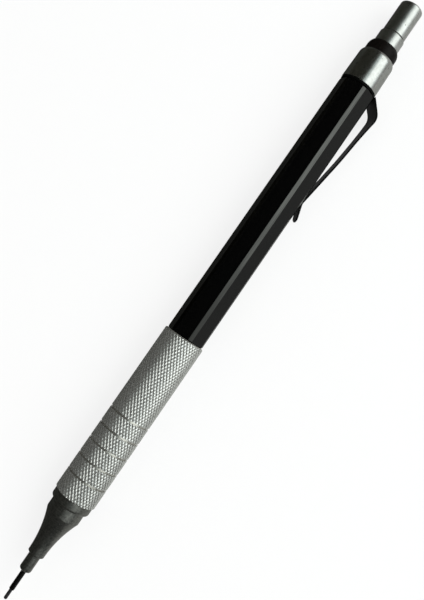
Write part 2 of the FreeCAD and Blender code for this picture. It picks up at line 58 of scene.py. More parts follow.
# ---- How fine the meshes are ----
# Angles are in degrees. A surface is smooth up to its SMOOTH_ANGLE, break_edges rounds the edges that
# are sharper than SHARP_ANGLE, and faces that meet within FLAT_ANGLE are merged.
TURNED_SIDES = 128
LEAD_SIDES = 40
SLEEVE_SIDES = 64
ERASER_SIDES = 96
SHEET_SIDES = 120
ROUND_SEGMENTS = 6
ROUND_PROFILE = 0.5
EDGE_SEGMENTS = 3
CROWN_STEPS = 10
FLARE_STEPS = 24
GUIDE_STEPS = 16
SMOOTH_ANGLE = 30
KNURL_SMOOTH_ANGLE = 20
BARREL_SMOOTH_ANGLE = 8
SHEET_SMOOTH_ANGLE = 35
SPRING_SMOOTH_ANGLE = 40
SHARP_ANGLE = 40
FLAT_ANGLE = 1

# ---- Sizes, counts and angles that the frame doesn't give ----
LEAD_POINT_ROUND = 0.24 * MM

KNURL_STARTS = 38
KNURL_PITCH = 1.138 * MM
KNURL_DEPTH = 0.1 * MM
KNURL_FLANK = 0.15 * MM
KNURL_SHALLOW = 0.05 * MM
KNURL_CUTS = 2
GRIP_BORE = 3.6 * MM
GRIP_EDGE = 0.2 * MM
GRIP_END_STEP = 0.3 * MM
GROOVES = 5
GROOVE_START = 4.34 * MM
GROOVE_PITCH = 3.53 * MM
GROOVE_WIDTH = 0.4 * MM
GROOVE_DEPTH = 0.3 * MM
GROOVE_DRAFT = 0.03 * MM

HEX_SIDES = 6
HEX_FLATS = 7.5 * MM
HEX_EDGE_WIDTH = 0.9 * MM
HEX_BREAK = 0.05 * MM
HEX_BREAK_SEGMENTS = 2
HEX_END_STEP = 0.1 * MM
HEX_TOP_CHAMFER = 1.6
SPIGOT_ROUND = 0.15 * MM
BARREL_BORE = 2.53 * MM
HOLDER_BORE = 3.0 * MM
HOLDER_STOP = 121.9 * MM

CLIP_TURN = math.radians(110.55445)
CLIP_ROOT = (120.545 * MM, 3.81 * MM)
CLIP_SHOULDER = (117.5 * MM, 6.88 * MM)
CLIP_BOW = (105.625 * MM, 5.705 * MM)
CLIP_TOUCH = (93.75 * MM, 4.01 * MM)
CLIP_TIP = (89.85 * MM, 5.26 * MM)
CLIP_BENDS = (2.5 * MM, 80 * MM, 1.6 * MM)
CLIP_BEND_STEP = math.radians(6)
CLIP_BEND_LEAST_STEPS = 4
CLIP_STEP = 0.45 * MM
CLIP_ROOT_OVERRUN = 0.6 * MM
CLIP_THICKNESS = 0.36 * MM
CLIP_ROOT_HALF = 2.1 * MM
CLIP_NECK_HALF = 1.5 * MM
CLIP_NECK_RUN = 1.9 * MM
CLIP_HALF = 1.08 * MM
CLIP_TAPER_RUN = 6.0 * MM
CLIP_TOE_HALF = 0.1 * MM
CLIP_BLEND = 1.5 * MM
CLIP_BLEND_SAMPLES = 4
CLIP_EDGE_ROUND = 0.08 * MM
WASHER_EDGE_ROUND = 0.05 * MM

SLEEVE_BORE = 0.38 * MM
SLEEVE_RADIUS = 0.53 * MM
SLEEVE_SEAT_RADIUS = 0.71 * MM
SLEEVE_MOUTH_ROUND = 0.1 * MM
SLEEVE_END = 10.5 * MM
NOSE_RADIUS = 1.25 * MM
NOSE_ROUND = 0.48 * MM
NOSE_LENGTH = 3.45 * MM
STEP_LENGTH = 0.3 * MM
STEP_RADIUS = 1.74 * MM
STEP_ROUND = 0.08 * MM
FLARE_LENGTH = 8.8 * MM
COLLAR_RADIUS = 3.56 * MM
COLLAR_LENGTH = 2.15 * MM
COLLAR_ROUND = 0.12 * MM
FLANGE_RADIUS = 4.16 * MM
FLANGE_ROUND = 0.55 * MM
CLUTCH_CHAMBER = 1.746 * MM
RETAINER_SEAT = 1.2 * MM
CASE_SEAT = 2.53 * MM

FERRULE_BORE = 3.53 * MM
FERRULE_TOP_RADIUS = 3.99 * MM
FERRULE_SHOULDER = 1.05 * MM
FERRULE_EDGE_ROUND = 0.05 * MM
FERRULE_TOP_FACE = 0.08 * MM
GUIDE_BORE = 2.93 * MM
GUIDE_DOME = 1.42 * MM
GUIDE_TOP_FACE = 0.1 * MM
NECK_RADIUS = 2.85 * MM
NECK_END = 133.82 * MM
NECK_ROUND = 0.16 * MM
HOLDER_SPIGOT_RADIUS = 2.33 * MM
HOLDER_RIM_ROUND = 0.04 * MM
HOLDER_TUBE_BORE = 1.53 * MM
HOLDER_FLOOR = 129.27 * MM
ERASER_BORE = 2.08 * MM
ERASER_ROUND = 0.35 * MM

SPRING_WIRE = 0.32 * MM
SPRING_WIRE_SIDES = 10
SPRING_TURNS = 11
SPRING_STEPS = 32

CAP_ROUND = 0.6 * MM
CAP_RIM_ROUND = 0.1 * MM
CAP_INNER_ROUND = 0.2 * MM
CAP_WALL = 0.24 * MM
CAP_SEAM = 0.22 * MM
CAP_END_WALL = 0.75 * MM

# ---- Camera: where it stands round the pencil, how far off, and how it is framed ----
CAMERA_TILT = math.radians(3.55)
CAMERA_STATION = 64.07 * MM
CAMERA_DISTANCE = 148.0 * MM
CAMERA_LEAN = math.radians(5.8)
CAMERA_ROLL = math.radians(34.61)
CAMERA_LENS = 44.1
CAMERA_SENSOR = 36
CAMERA_SHIFT = (-0.0547, -0.0822)
CAMERA_CLIP = (0.01, 20)


# ---- Modelling by hand ----

def begin(name, add, **size):
    """A new primitive in edit mode, with nothing else selected and its place in its mesh."""
    bpy.ops.object.select_all(action="DESELECT")
    add(**size)
    piece = bpy.context.object
    piece.name = name
    piece.data.name = name
    bpy.ops.object.transform_apply(location=True, rotation=True, scale=True)
    bpy.ops.object.mode_set(mode="EDIT")
    return piece


def pick(piece):
    """Makes a piece the active one, with nothing else selected."""
    bpy.ops.object.select_all(action="DESELECT")
    bpy.context.view_layer.objects.active = piece
    piece.select_set(True)


def select_corners(piece, wanted):
    """In edit mode, selects the corners whose place passes a test, and what lies between them."""
    bpy.ops.mesh.select_mode(type="VERT")
    bpy.ops.mesh.select_all(action="DESELECT")
    bpy.ops.object.mode_set(mode="OBJECT")
    for corner in piece.data.vertices:
        corner.select = wanted(corner.co)
    bpy.ops.object.mode_set(mode="EDIT")


def select_edges(piece, wanted):
    """In edit mode, selects the edges that pass a test."""
    bpy.ops.mesh.select_mode(type="EDGE")
    bpy.ops.mesh.select_all(action="DESELECT")
    bpy.ops.object.mode_set(mode="OBJECT")
    for edge in piece.data.edges:
        edge.select = wanted(edge)
    bpy.ops.object.mode_set(mode="EDIT")


def ends_of(piece, edge):
    """The places of an edge's two ends."""
    return [piece.data.vertices[corner_id].co for corner_id in edge.vertices]


def radius_of(place):
    """How far a place is from the pencil's axis."""
    return math.hypot(place.y, place.z)


def select_ring(piece, x, radius=None):
    """Selects the ring of corners at a station, or only those of them at a radius."""
    select_corners(piece, lambda place: abs(place.x - x) < NEAR
                   and (radius is None or abs(radius_of(place) - radius) < NEAR))


def draw_out(step):
    """Pulls new faces out of the selected edges, along the axis."""
    bpy.ops.mesh.extrude_region_move(TRANSFORM_OT_translate={"value": (step, 0, 0)})


def close_up(piece, smooth_angle=SMOOTH_ANGLE):
    """Merges what meets, turns every face outward and leaves edit mode, smooth but for its corners."""
    bpy.ops.mesh.select_all(action="SELECT")
    bpy.ops.mesh.remove_doubles(threshold=NEAR)
    bpy.ops.mesh.normals_make_consistent(inside=False)
    bpy.ops.object.mode_set(mode="OBJECT")
    bpy.ops.object.shade_smooth_by_angle(angle=math.radians(smooth_angle))
    return piece


def turned(name, outline, sides=TURNED_SIDES):
    """A turned piece. Its outline is a list of (x, radius) stations, and a third value rounds that
    corner. An outline that ends where it began is a hollow piece, and any other has flat ends."""
    x, radius = outline[0][:2]
    piece = begin(name, bpy.ops.mesh.primitive_circle_add, vertices=sides, radius=radius,
                  location=(x, 0, 0), rotation=(0, QUARTER, 0))
    hollow = outline[0][:2] == outline[-1][:2]
    if not hollow:
        bpy.ops.mesh.edge_face_add()
    for station in outline[1:]:
        draw_out(station[0] - x)
        factor = station[1] / radius
        bpy.ops.transform.resize(value=(1, factor, factor), center_override=(station[0], 0, 0))
        x, radius = station[:2]
    bpy.ops.mesh.select_all(action="SELECT")
    bpy.ops.mesh.remove_doubles(threshold=NEAR)
    for station in outline:
        if len(station) > 2:
            select_ring(piece, *station[:2])
            bpy.ops.mesh.bevel(offset=station[2], segments=ROUND_SEGMENTS, profile=ROUND_PROFILE,
                                affect="EDGES")
    return close_up(piece)


def crown(start, end, steps=CROWN_STEPS):
    """Stations of an arc that leaves along the axis at its start and falls or climbs to its end."""
    run = end[0] - start[0]
    rise = end[1] - start[1]
    bend = (run ** 2 + rise ** 2) / (2 * rise)
    sweep = math.asin(run / bend) if abs(run) < abs(bend) else QUARTER
    stations = []
    for number in range(steps + 1):
        angle = sweep * number / steps
        stations.append((start[0] + bend * math.sin(angle), start[1] + bend * (1 - math.cos(angle))))
    return stations


def turn_to_clip():
    """In edit mode, turns the whole piece round the axis, to the way that the clip faces."""
    bpy.ops.mesh.select_all(action="SELECT")
    bpy.ops.transform.rotate(value=-CLIP_TURN, orient_axis="X", center_override=(0, 0, 0))


def stand_in(piece, node, body, finish):
    """The piece takes a node's place, rides its body and wears its finish."""
    piece.data.materials.clear()
    piece.data.materials.append(finish)
    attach(piece, body)
    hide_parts(node)


def span(node):
    """Where a node starts and ends along the pencil."""
    low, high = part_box(node)
    return low.x, high.x


def reach(node):
    """The largest radius of a round node."""
    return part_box(node)[1].z


# ---- Finishes ----

NOISE_RANGE = (0.3, 0.7)
WHITE = (1, 1, 1)
# Painted light: the barrel's edge faces darken towards the tip, standing in for a window dimmer there.
EDGE_DIM_X = 62 * MM
EDGE_BRIGHT_X = 92 * MM
EDGE_BLUR = 0.03
EDGE_DIM = (0.35, 0.35, 0.35)


def new_finish(name, colour, metallic, roughness):
    """A material with its shader, and the tools to wire a pattern into it."""
    finish = bpy.data.materials.new(name)
    finish.use_nodes = True
    shader = finish.node_tree.nodes["Principled BSDF"]
    shader.inputs["Base Color"].default_value = (*colour, 1)
    shader.inputs["Metallic"].default_value = metallic
    shader.inputs["Roughness"].default_value = roughness
    return finish, finish.node_tree, shader


def add_node(tree, kind, **settings):
    """A new shader node, with its own settings or the values of its inputs."""
    node = tree.nodes.new(kind)
    for name, value in settings.items():
        if hasattr(node, name):
            setattr(node, name, value)
        else:
            node.inputs[name.replace("_", " ").title()].default_value = value
    return node


def object_place(tree, stretch):
    """The piece's own coordinates, stretched for a pattern."""
    coordinates = add_node(tree, "ShaderNodeTexCoord")
    mapping = add_node(tree, "ShaderNodeMapping")
    mapping.inputs["Scale"].default_value = stretch
    tree.links.new(coordinates.outputs["Object"], mapping.inputs["Vector"])
    return mapping.outputs["Vector"]


def noise(tree, stretch, detail=4.0, roughness=0.5):
    """A noise pattern, whose stretch is its number of grains in a metre each way."""
    pattern = add_node(tree, "ShaderNodeTexNoise", detail=detail, roughness=roughness)
    pattern.inputs["Scale"].default_value = 1.0
    tree.links.new(object_place(tree, stretch), pattern.inputs["Vector"])
    return pattern.outputs["Fac"]


def ramp(tree, value, low, high, colour_low, colour_high):
    """Two colours, the second taking over as the value climbs from low to high."""
    node = add_node(tree, "ShaderNodeValToRGB")
    node.color_ramp.elements[0].position = low
    node.color_ramp.elements[1].position = high
    node.color_ramp.elements[0].color = (*colour_low, 1)
    node.color_ramp.elements[1].color = (*colour_high, 1)
    tree.links.new(value, node.inputs["Fac"])
    return node.outputs["Color"]


def two_tone(tree, pattern, dark, pale):
    """Two colours over the values that most of a noise pattern has."""
    return ramp(tree, pattern, *NOISE_RANGE, dark, pale)


def spread(tree, value, low, high, least, most):
    """A value between two others, as the pattern climbs from low to high."""
    node = add_node(tree, "ShaderNodeMapRange")
    node.inputs["From Min"].default_value = low
    node.inputs["From Max"].default_value = high
    node.inputs["To Min"].default_value = least
    node.inputs["To Max"].default_value = most
    tree.links.new(value, node.inputs["Value"])
    return node.outputs["Result"]


def vary_roughness(tree, shader, pattern, least, most):
    """The roughness follows a noise pattern."""
    tree.links.new(spread(tree, pattern, *NOISE_RANGE, least, most), shader.inputs["Roughness"])


def vary_colour(tree, shader, colour):
    """The base colour follows a pattern of colours."""
    tree.links.new(colour, shader.inputs["Base Color"])


def bump(tree, shader, height, distance):
    """Raises the surface by a pattern, up to a distance in metres."""
    node = add_node(tree, "ShaderNodeBump")
    node.inputs["Distance"].default_value = distance
    tree.links.new(height, node.inputs["Height"])
    tree.links.new(node.outputs["Normal"], shader.inputs["Normal"])


def multiply(tree, first, second):
    """Two colours multiplied."""
    node = add_node(tree, "ShaderNodeMix", data_type="RGBA", blend_type="MULTIPLY")
    node.inputs["Factor"].default_value = 1.0
    tree.links.new(first, node.inputs["A"])
    tree.links.new(second, node.inputs["B"])
    return node.outputs["Result"]


def calculate(tree, operation, *values):
    """One step of arithmetic, on other nodes' values or on plain numbers."""
    node = add_node(tree, "ShaderNodeMath", operation=operation)
    for socket, value in zip(node.inputs, values):
        if isinstance(value, bpy.types.NodeSocket):
            tree.links.new(value, socket)
        else:
            socket.default_value = value
    return node.outputs["Value"]


def place_parts(tree):
    """X, Y and Z of a place on the piece, in metres."""
    coordinates = add_node(tree, "ShaderNodeTexCoord")
    parts = add_node(tree, "ShaderNodeSeparateXYZ")
    tree.links.new(coordinates.outputs["Object"], parts.inputs["Vector"])
    return parts.outputs


def distance_from_axis(tree):
    """How far a place on the piece is from the pencil's axis, in metres."""
    parts = place_parts(tree)
    flat = add_node(tree, "ShaderNodeCombineXYZ")
    length = add_node(tree, "ShaderNodeVectorMath", operation="LENGTH")
    tree.links.new(parts["Y"], flat.inputs["Y"])
    tree.links.new(parts["Z"], flat.inputs["Z"])
    tree.links.new(flat.outputs["Vector"], length.inputs[0])
    return length.outputs["Value"]


def turned_aluminium(name, dark, pale, roughness):
    """Bright turned aluminium: fine lines round the axis, a few dark pits."""
    finish, tree, shader = new_finish(name, pale, 1.0, roughness)
    lines = noise(tree, (26000, 400, 400), detail=3.0)
    clouds = noise(tree, (900, 900, 900), detail=3.0)
    pits = noise(tree, (1900, 1900, 1900), detail=2.0)
    plain = two_tone(tree, lines, dark, pale)
    wear_and_painted_light = ramp(tree, clouds, 0.35, 0.65, (0.84, 0.84, 0.82), WHITE)
    marks = ramp(tree, pits, 0.27, 0.3, (0.3, 0.3, 0.27), WHITE)
    vary_colour(tree, shader, multiply(tree, multiply(tree, plain, wear_and_painted_light), marks))
    vary_roughness(tree, shader, lines, roughness - 0.02, roughness + 0.02)
    bump(tree, shader, lines, 0.3 * MICRON)
    return finish


def knurled_steel():
    """Satin plated steel, with painted shade in the knurl's cuts and painted highlights in its grooves.
    """
    finish, tree, shader = new_finish("knurled_steel", (0.5, 0.5, 0.48), 0.8, 0.28)
    crest = reach("grip_sleeve")
    height = spread(tree, distance_from_axis(tree), crest - GROOVE_DEPTH, crest, 0, 1)
    root = 1 - KNURL_DEPTH / GROOVE_DEPTH
    # Painted shade: the cuts of the knurl are darker towards their floors.
    painted_cut_shade = ramp(tree, height, root, 0.92, (0.42, 0.41, 0.38), (0.63, 0.635, 0.62))
    # Painted highlight: the floors of the grooves are brighter than the cuts around them.
    clean_tone_and_painted_highlight = ramp(tree, height, root / 3, root, (1.15, 1.15, 1.15), WHITE)
    wear_and_painted_light = multiply(tree, painted_cut_shade, clean_tone_and_painted_highlight)
    grain = noise(tree, (2600, 2600, 2600), detail=5.0)
    cloud = two_tone(tree, grain, (0.8, 0.8, 0.79), WHITE)
    vary_colour(tree, shader, multiply(tree, wear_and_painted_light, cloud))
    vary_roughness(tree, shader, grain, 0.22, 0.34)
    bump(tree, shader, grain, 4 * MICRON)
    return finish


def gunmetal():
    """Dark satin metal of the tip: turning lines, an uneven grain and specks of dust."""
    finish, tree, shader = new_finish("gunmetal", (0.17, 0.174, 0.166), 0.93, 0.44)
    lines = noise(tree, (14000, 500, 500), detail=3.0)
    grain = noise(tree, (2600, 2600, 2600), detail=5.0, roughness=0.65)
    dust = noise(tree, (2300, 2300, 2300), detail=1.0)
    plain = two_tone(tree, lines, (0.16, 0.163, 0.153), (0.22, 0.222, 0.21))
    mottle = two_tone(tree, grain, (0.55, 0.55, 0.55), (1.15, 1.13, 1.1))
    pale = ramp(tree, dust, 0.76, 0.8, WHITE, (2.4, 2.3, 2.2))
    vary_colour(tree, shader, multiply(tree, multiply(tree, plain, mottle), pale))
    vary_roughness(tree, shader, grain, 0.28, 0.42)
    shader.inputs["Specular IOR Level"].default_value = 0.3
    bump(tree, shader, grain, 10 * MICRON)
    return finish


def edge_share(tree):
    """One on the barrel's narrow edge faces and nought on its six broad ones. The angle round the
    barrel starts two whole turns on, so it is never negative."""
    parts = place_parts(tree)
    side = 2 * math.pi / HEX_SIDES
    turn = calculate(tree, "ARCTAN2", parts["Z"], parts["Y"])
    ahead = calculate(tree, "ADD", turn, 4 * math.pi - CLIP_TURN + side / 2)
    around_side = calculate(tree, "MODULO", ahead, side)
    from_edge = calculate(tree, "ABSOLUTE", calculate(tree, "SUBTRACT", around_side, side / 2))
    corner = HEX_FLATS / 2 / math.cos(side / 2)
    half = math.atan2(HEX_EDGE_WIDTH / 2, corner - HEX_EDGE_WIDTH / 2 * math.tan(side / 2))
    return spread(tree, from_edge, half * (1 - EDGE_BLUR), half * (1 + EDGE_BLUR), 1.0, 0.0)


def painted_black():
    """The barrel's satin black paint: a fine grain, faint smears, and edge faces that mirror more
    than the sides do. The fade along the edges stands in for a window that is dimmer towards the tip."""
    finish, tree, shader = new_finish("barrel_black", (0.002, 0.002, 0.002), 0.0, 0.2)
    shader.inputs["Specular IOR Level"].default_value = 0.25
    grain = noise(tree, (3200, 3200, 3200), detail=5.0, roughness=0.7)
    smears = noise(tree, (90, 400, 400), detail=3.0)
    paint = two_tone(tree, grain, (0.0002, 0.0003, 0.0005), (0.0014, 0.0014, 0.0014))
    lines = noise(tree, (150, 9000, 9000), detail=2.0)
    streaks = two_tone(tree, lines, (0.038, 0.038, 0.036), (0.072, 0.072, 0.069))
    along = place_parts(tree)["X"]
    # Painted light: the colour of the edge faces fades towards the tip.
    painted_window_fade = ramp(tree, along, EDGE_DIM_X, EDGE_BRIGHT_X, EDGE_DIM, WHITE)
    mirrored = multiply(tree, streaks, painted_window_fade)
    blend = add_node(tree, "ShaderNodeMix", data_type="RGBA")
    on_edge = edge_share(tree)
    tree.links.new(on_edge, blend.inputs["Factor"])
    tree.links.new(on_edge, shader.inputs["Metallic"])
    tree.links.new(paint, blend.inputs["A"])
    tree.links.new(mirrored, blend.inputs["B"])
    vary_colour(tree, shader, blend.outputs["Result"])
    vary_roughness(tree, shader, smears, 0.1, 0.17)
    bump(tree, shader, grain, 2 * MICRON)
    return finish


def drawn_steel(name, dark, pale, roughness):
    """Drawn metal: streaks along the pencil."""
    finish, tree, shader = new_finish(name, pale, 0.9, roughness)
    streaks = noise(tree, (400, 12000, 12000), detail=3.0)
    vary_colour(tree, shader, two_tone(tree, streaks, dark, pale))
    vary_roughness(tree, shader, streaks, roughness - 0.05, roughness + 0.08)
    bump(tree, shader, streaks, 3 * MICRON)
    return finish


def satin_black(name, dark, pale, roughness, height, gloss):
    """Black paint or plastic with a fine grain, its height in metres."""
    finish, tree, shader = new_finish(name, pale, 0.0, roughness)
    shader.inputs["Specular IOR Level"].default_value = gloss
    grain = noise(tree, (4200, 4200, 4200), detail=4.0)
    smears = noise(tree, (90, 400, 400), detail=3.0)
    vary_colour(tree, shader, two_tone(tree, grain, dark, pale))
    vary_roughness(tree, shader, smears, roughness - 0.04, roughness + 0.05)
    bump(tree, shader, grain, height)
    return finish


def graphite():
    """Polymer lead: near black, dull, with a faint silver in its grain."""
    finish, tree, shader = new_finish("graphite", (0.02, 0.02, 0.022), 0.3, 0.5)
    grain = noise(tree, (16000, 16000, 16000), detail=4.0)
    vary_colour(tree, shader, ramp(tree, grain, 0.35, 0.7, (0.008, 0.008, 0.009), (0.035, 0.035, 0.038)))
    bump(tree, shader, grain, 6 * MICRON)
    return finish


def machined_brass():
    """Turned brass, unevenly tarnished."""
    finish, tree, shader = new_finish("machined_brass", (0.75, 0.56, 0.25), 1.0, 0.25)
    lines = noise(tree, (22000, 400, 400), detail=3.0)
    tarnish = noise(tree, (500, 500, 500), detail=4.0)
    clean_tone_and_painted_highlight = two_tone(tree, lines, (0.68, 0.5, 0.22), (0.8, 0.61, 0.29))
    dull = ramp(tree, tarnish, 0.35, 0.65, (0.8, 0.74, 0.68), WHITE)
    vary_colour(tree, shader, multiply(tree, clean_tone_and_painted_highlight, dull))
    vary_roughness(tree, shader, lines, 0.2, 0.34)
    bump(tree, shader, lines, 4 * MICRON)
    return finish


def soft_plastic(name, dark, pale, roughness, height):
    """Moulded plastic or rubber with a mottled, slightly uneven face."""
    finish, tree, shader = new_finish(name, pale, 0.0, roughness)
    mottle = noise(tree, (900, 900, 900), detail=4.0)
    grain = noise(tree, (9000, 9000, 9000), detail=3.0)
    vary_colour(tree, shader, two_tone(tree, mottle, dark, pale))
    vary_roughness(tree, shader, mottle, roughness - 0.06, roughness + 0.06)
    bump(tree, shader, grain, height)
    return finish


# ---- Pieces ----

def knurl_tube(start, end, crest):
    """A tube of raised diamonds. A ring of plain sides, one pitch long, is repeated along the axis,
    every side is crossed from its corners, the first edges go, and each diamond left is raised."""
    root = crest - KNURL_DEPTH
    rows = math.ceil((end - start) / KNURL_PITCH) + 1
    tube = begin("knurled_grip", bpy.ops.mesh.primitive_cylinder_add, vertices=KNURL_STARTS,
                 radius=root, depth=KNURL_PITCH, end_fill_type="NOTHING",
                 location=(start, 0, 0), rotation=(0, QUARTER, 0))
    bpy.ops.object.mode_set(mode="OBJECT")
    repeat = tube.modifiers.new("rows", "ARRAY")
    repeat.count = rows
    repeat.use_relative_offset = False
    repeat.use_constant_offset = True
    repeat.constant_offset_displace = (KNURL_PITCH, 0, 0)
    repeat.use_merge_vertices = True
    repeat.merge_threshold = WELD
    bpy.ops.object.modifier_apply(modifier=repeat.name)
    first_corners = len(tube.data.vertices)
    bpy.ops.object.mode_set(mode="EDIT")
    bpy.ops.mesh.select_all(action="SELECT")
    sagitta = root * (1 - math.cos(math.pi / KNURL_STARTS))
    bpy.ops.mesh.poke(offset=sagitta)
    select_edges(tube, lambda edge: max(edge.vertices) < first_corners)
    bpy.ops.mesh.dissolve_edges(use_verts=False)
    bpy.ops.mesh.select_mode(type="FACE")
    bpy.ops.mesh.select_all(action="SELECT")
    bpy.ops.mesh.inset(use_individual=True, thickness=KNURL_FLANK, depth=KNURL_DEPTH)
    lift_one_family(tube, root)
    return tube


def lift_one_family(tube, root):
    """Makes the cuts that wind one way shallower, so that the ridges between the cuts winding the
    other way are less broken."""
    def is_shallow_cut(edge):
        """Whether an edge is the floor of a cut that winds that way."""
        here, there = ends_of(tube, edge)
        low = max(radius_of(here), radius_of(there)) < root + NEAR
        winding = (there.x - here.x) * (here.y * there.z - here.z * there.y)
        return low and winding > 0

    select_edges(tube, is_shallow_cut)
    first_corners = len(tube.data.vertices)
    bpy.ops.mesh.subdivide(number_cuts=KNURL_CUTS, ngon=False)
    bpy.ops.mesh.select_all(action="DESELECT")
    bpy.ops.mesh.select_mode(type="VERT")
    bpy.ops.object.mode_set(mode="OBJECT")
    for corner in tube.data.vertices:
        corner.select = corner.index >= first_corners
    bpy.ops.object.mode_set(mode="EDIT")
    factor = (root + KNURL_DEPTH - KNURL_SHALLOW) / root
    bpy.ops.transform.resize(value=(1, factor, factor), center_override=(0, 0, 0))


def cut_across(x, **drop):
    """Cuts the whole piece square across at a station, and can drop what lies on one side."""
    bpy.ops.mesh.select_all(action="SELECT")
    bpy.ops.mesh.bisect(plane_co=(x, 0, 0), plane_no=(1, 0, 0), threshold=NEAR, **drop)


def add_ring(x, radius):
    """A plain ring of corners at a station, added to the piece being edited."""
    bpy.ops.mesh.primitive_circle_add(vertices=TURNED_SIDES, radius=radius, location=(x, 0, 0),
                                      rotation=(0, QUARTER, 0))


def knurled_grip():
    """The knurled sleeve: its diamonds cut through by five grooves, with plain ends and a bore."""
    start, end = span("grip_sleeve")
    crest = reach("grip_sleeve")
    grip = knurl_tube(start, end, crest)
    cut_across(start + GRIP_EDGE, clear_inner=True)
    cut_across(end - GRIP_EDGE, clear_outer=True)
    floor = crest - GROOVE_DEPTH
    for number in range(GROOVES):
        middle = start + GROOVE_START + number * GROOVE_PITCH
        front = middle - GROOVE_WIDTH / 2
        back = middle + GROOVE_WIDTH / 2
        cut_across(front)
        cut_across(back)
        select_corners(grip, lambda place: front - NEAR < place.x < back + NEAR)
        bpy.ops.mesh.delete(type="FACE")
        select_corners(grip, lambda place: front + NEAR < place.x < back - NEAR)
        bpy.ops.mesh.delete(type="VERT")
        foot = (front + GROOVE_DRAFT, back - GROOVE_DRAFT)
        for side, inner in zip((front, back), foot):
            add_ring(inner, floor)
            low, high = min(side, inner), max(side, inner)
            select_corners(grip, lambda place: low - NEAR < place.x < high + NEAR)
            bpy.ops.mesh.bridge_edge_loops()
        select_corners(grip, lambda place: foot[0] - NEAR < place.x < foot[1] + NEAR)
        bpy.ops.mesh.bridge_edge_loops()
    for edge, face in ((start + GRIP_EDGE, start), (end - GRIP_EDGE, end)):
        add_ring(face, crest - GRIP_END_STEP)
        select_corners(grip, lambda place: abs(place.x - edge) < NEAR or abs(place.x - face) < NEAR)
        bpy.ops.mesh.bridge_edge_loops()
    select_ring(grip, start)
    factor = GRIP_BORE / (crest - GRIP_END_STEP)
    bpy.ops.mesh.extrude_region_move()
    bpy.ops.transform.resize(value=(1, factor, factor), center_override=(start, 0, 0))
    draw_out(end - start)
    bpy.ops.mesh.extrude_region_move()
    bpy.ops.transform.resize(value=(1, 1 / factor, 1 / factor), center_override=(end, 0, 0))
    close_up(grip, KNURL_SMOOTH_ANGLE)
    stand_in(grip, "grip_sleeve", "pencil_body", knurled_steel())


def cut_with(piece, tool, operation):
    """Joins, cuts or trims a piece with another, which is used up."""
    pick(piece)
    work = piece.modifiers.new("cut", "BOOLEAN")
    work.operation = operation
    work.solver = "EXACT"
    work.object = tool
    bpy.ops.object.modifier_apply(modifier=work.name)
    bpy.data.objects.remove(tool)


def hexagonal_barrel():
    """The barrel: a six-sided bar with its edges cut flat, its ends turned down to a circle, with a
    spigot at each end and bored through."""
    start = span("grip_sleeve")[1]
    end = span("clip_ring")[0]
    corner = HEX_FLATS / 2 / math.cos(math.pi / HEX_SIDES)
    barrel = begin("hexagonal_barrel", bpy.ops.mesh.primitive_cylinder_add, vertices=HEX_SIDES,
                   radius=corner, depth=end - start, location=((start + end) / 2, 0, 0),
                   rotation=(0, QUARTER, 0))

    def is_long(edge):
        """Whether an edge runs along the barrel."""
        here, there = ends_of(barrel, edge)
        return abs(here.x - there.x) > HEX_FLATS

    select_edges(barrel, is_long)
    width = HEX_EDGE_WIDTH * math.tan(math.pi / HEX_SIDES)
    bpy.ops.mesh.bevel(offset=width, segments=1, affect="EDGES")
    select_edges(barrel, is_long)
    bpy.ops.mesh.bevel(offset=HEX_BREAK, segments=HEX_BREAK_SEGMENTS, profile=ROUND_PROFILE,
                       affect="EDGES")
    bpy.ops.object.mode_set(mode="OBJECT")
    face = HEX_FLATS / 2 + HEX_END_STEP
    rise = corner - face
    blank = turned("blank", [(start, face), (start + rise, corner),
                             (end - HEX_TOP_CHAMFER * rise, corner), (end, face)])
    cut_with(barrel, blank, "INTERSECT")
    front, back = span("barrel")
    middle = (start + end) / 2
    spigots = turned("spigots", [(front, GRIP_BORE, SPIGOT_ROUND), (middle, GRIP_BORE),
                                 (middle, FERRULE_BORE), (back, FERRULE_BORE, SPIGOT_ROUND)])
    cut_with(barrel, spigots, "UNION")
    bore = turned("bore", [(front - MM, BARREL_BORE), (HOLDER_STOP, BARREL_BORE),
                           (HOLDER_STOP, HOLDER_BORE), (back + MM, HOLDER_BORE)])
    cut_with(barrel, bore, "DIFFERENCE")
    bpy.ops.object.mode_set(mode="EDIT")
    turn_to_clip()
    close_up(barrel, BARREL_SMOOTH_ANGLE)
    stand_in(barrel, "barrel", "pencil_body", painted_black())


def black_sheet():
    """The clip's black finish, shared by its washer and its arm."""
    return satin_black("clip_black", (0.001, 0.0012, 0.0012), (0.0022, 0.0024, 0.0023), 0.5,
                       2 * MICRON, 0.04)


def clip_washer(finish):
    """The clip's washer, its edges broken, from a merged copy of its own node."""
    washer = bpy.data.objects.new("clip_washer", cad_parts["clip_ring"].data.copy())
    bpy.context.scene.collection.objects.link(washer)
    pick(washer)
    bpy.ops.object.mode_set(mode="EDIT")
    bpy.ops.mesh.select_all(action="SELECT")
    bpy.ops.mesh.remove_doubles(threshold=WELD)
    bpy.ops.mesh.dissolve_limited(angle_limit=math.radians(FLAT_ANGLE))
    bpy.ops.object.mode_set(mode="OBJECT")
    break_edges(washer, WASHER_EDGE_ROUND)
    stand_in(washer, "clip_ring", "pencil_body", finish)


def break_edges(piece, width):
    """Rounds the piece's sharp edges and smooths the rest."""
    edges = piece.modifiers.new("edges", "BEVEL")
    edges.width = width
    edges.segments = EDGE_SEGMENTS
    edges.limit_method = "ANGLE"
    edges.angle_limit = math.radians(SHARP_ANGLE)
    bpy.ops.object.modifier_apply(modifier=edges.name)
    bpy.ops.object.shade_smooth_by_angle(angle=math.radians(SHEET_SMOOTH_ANGLE))


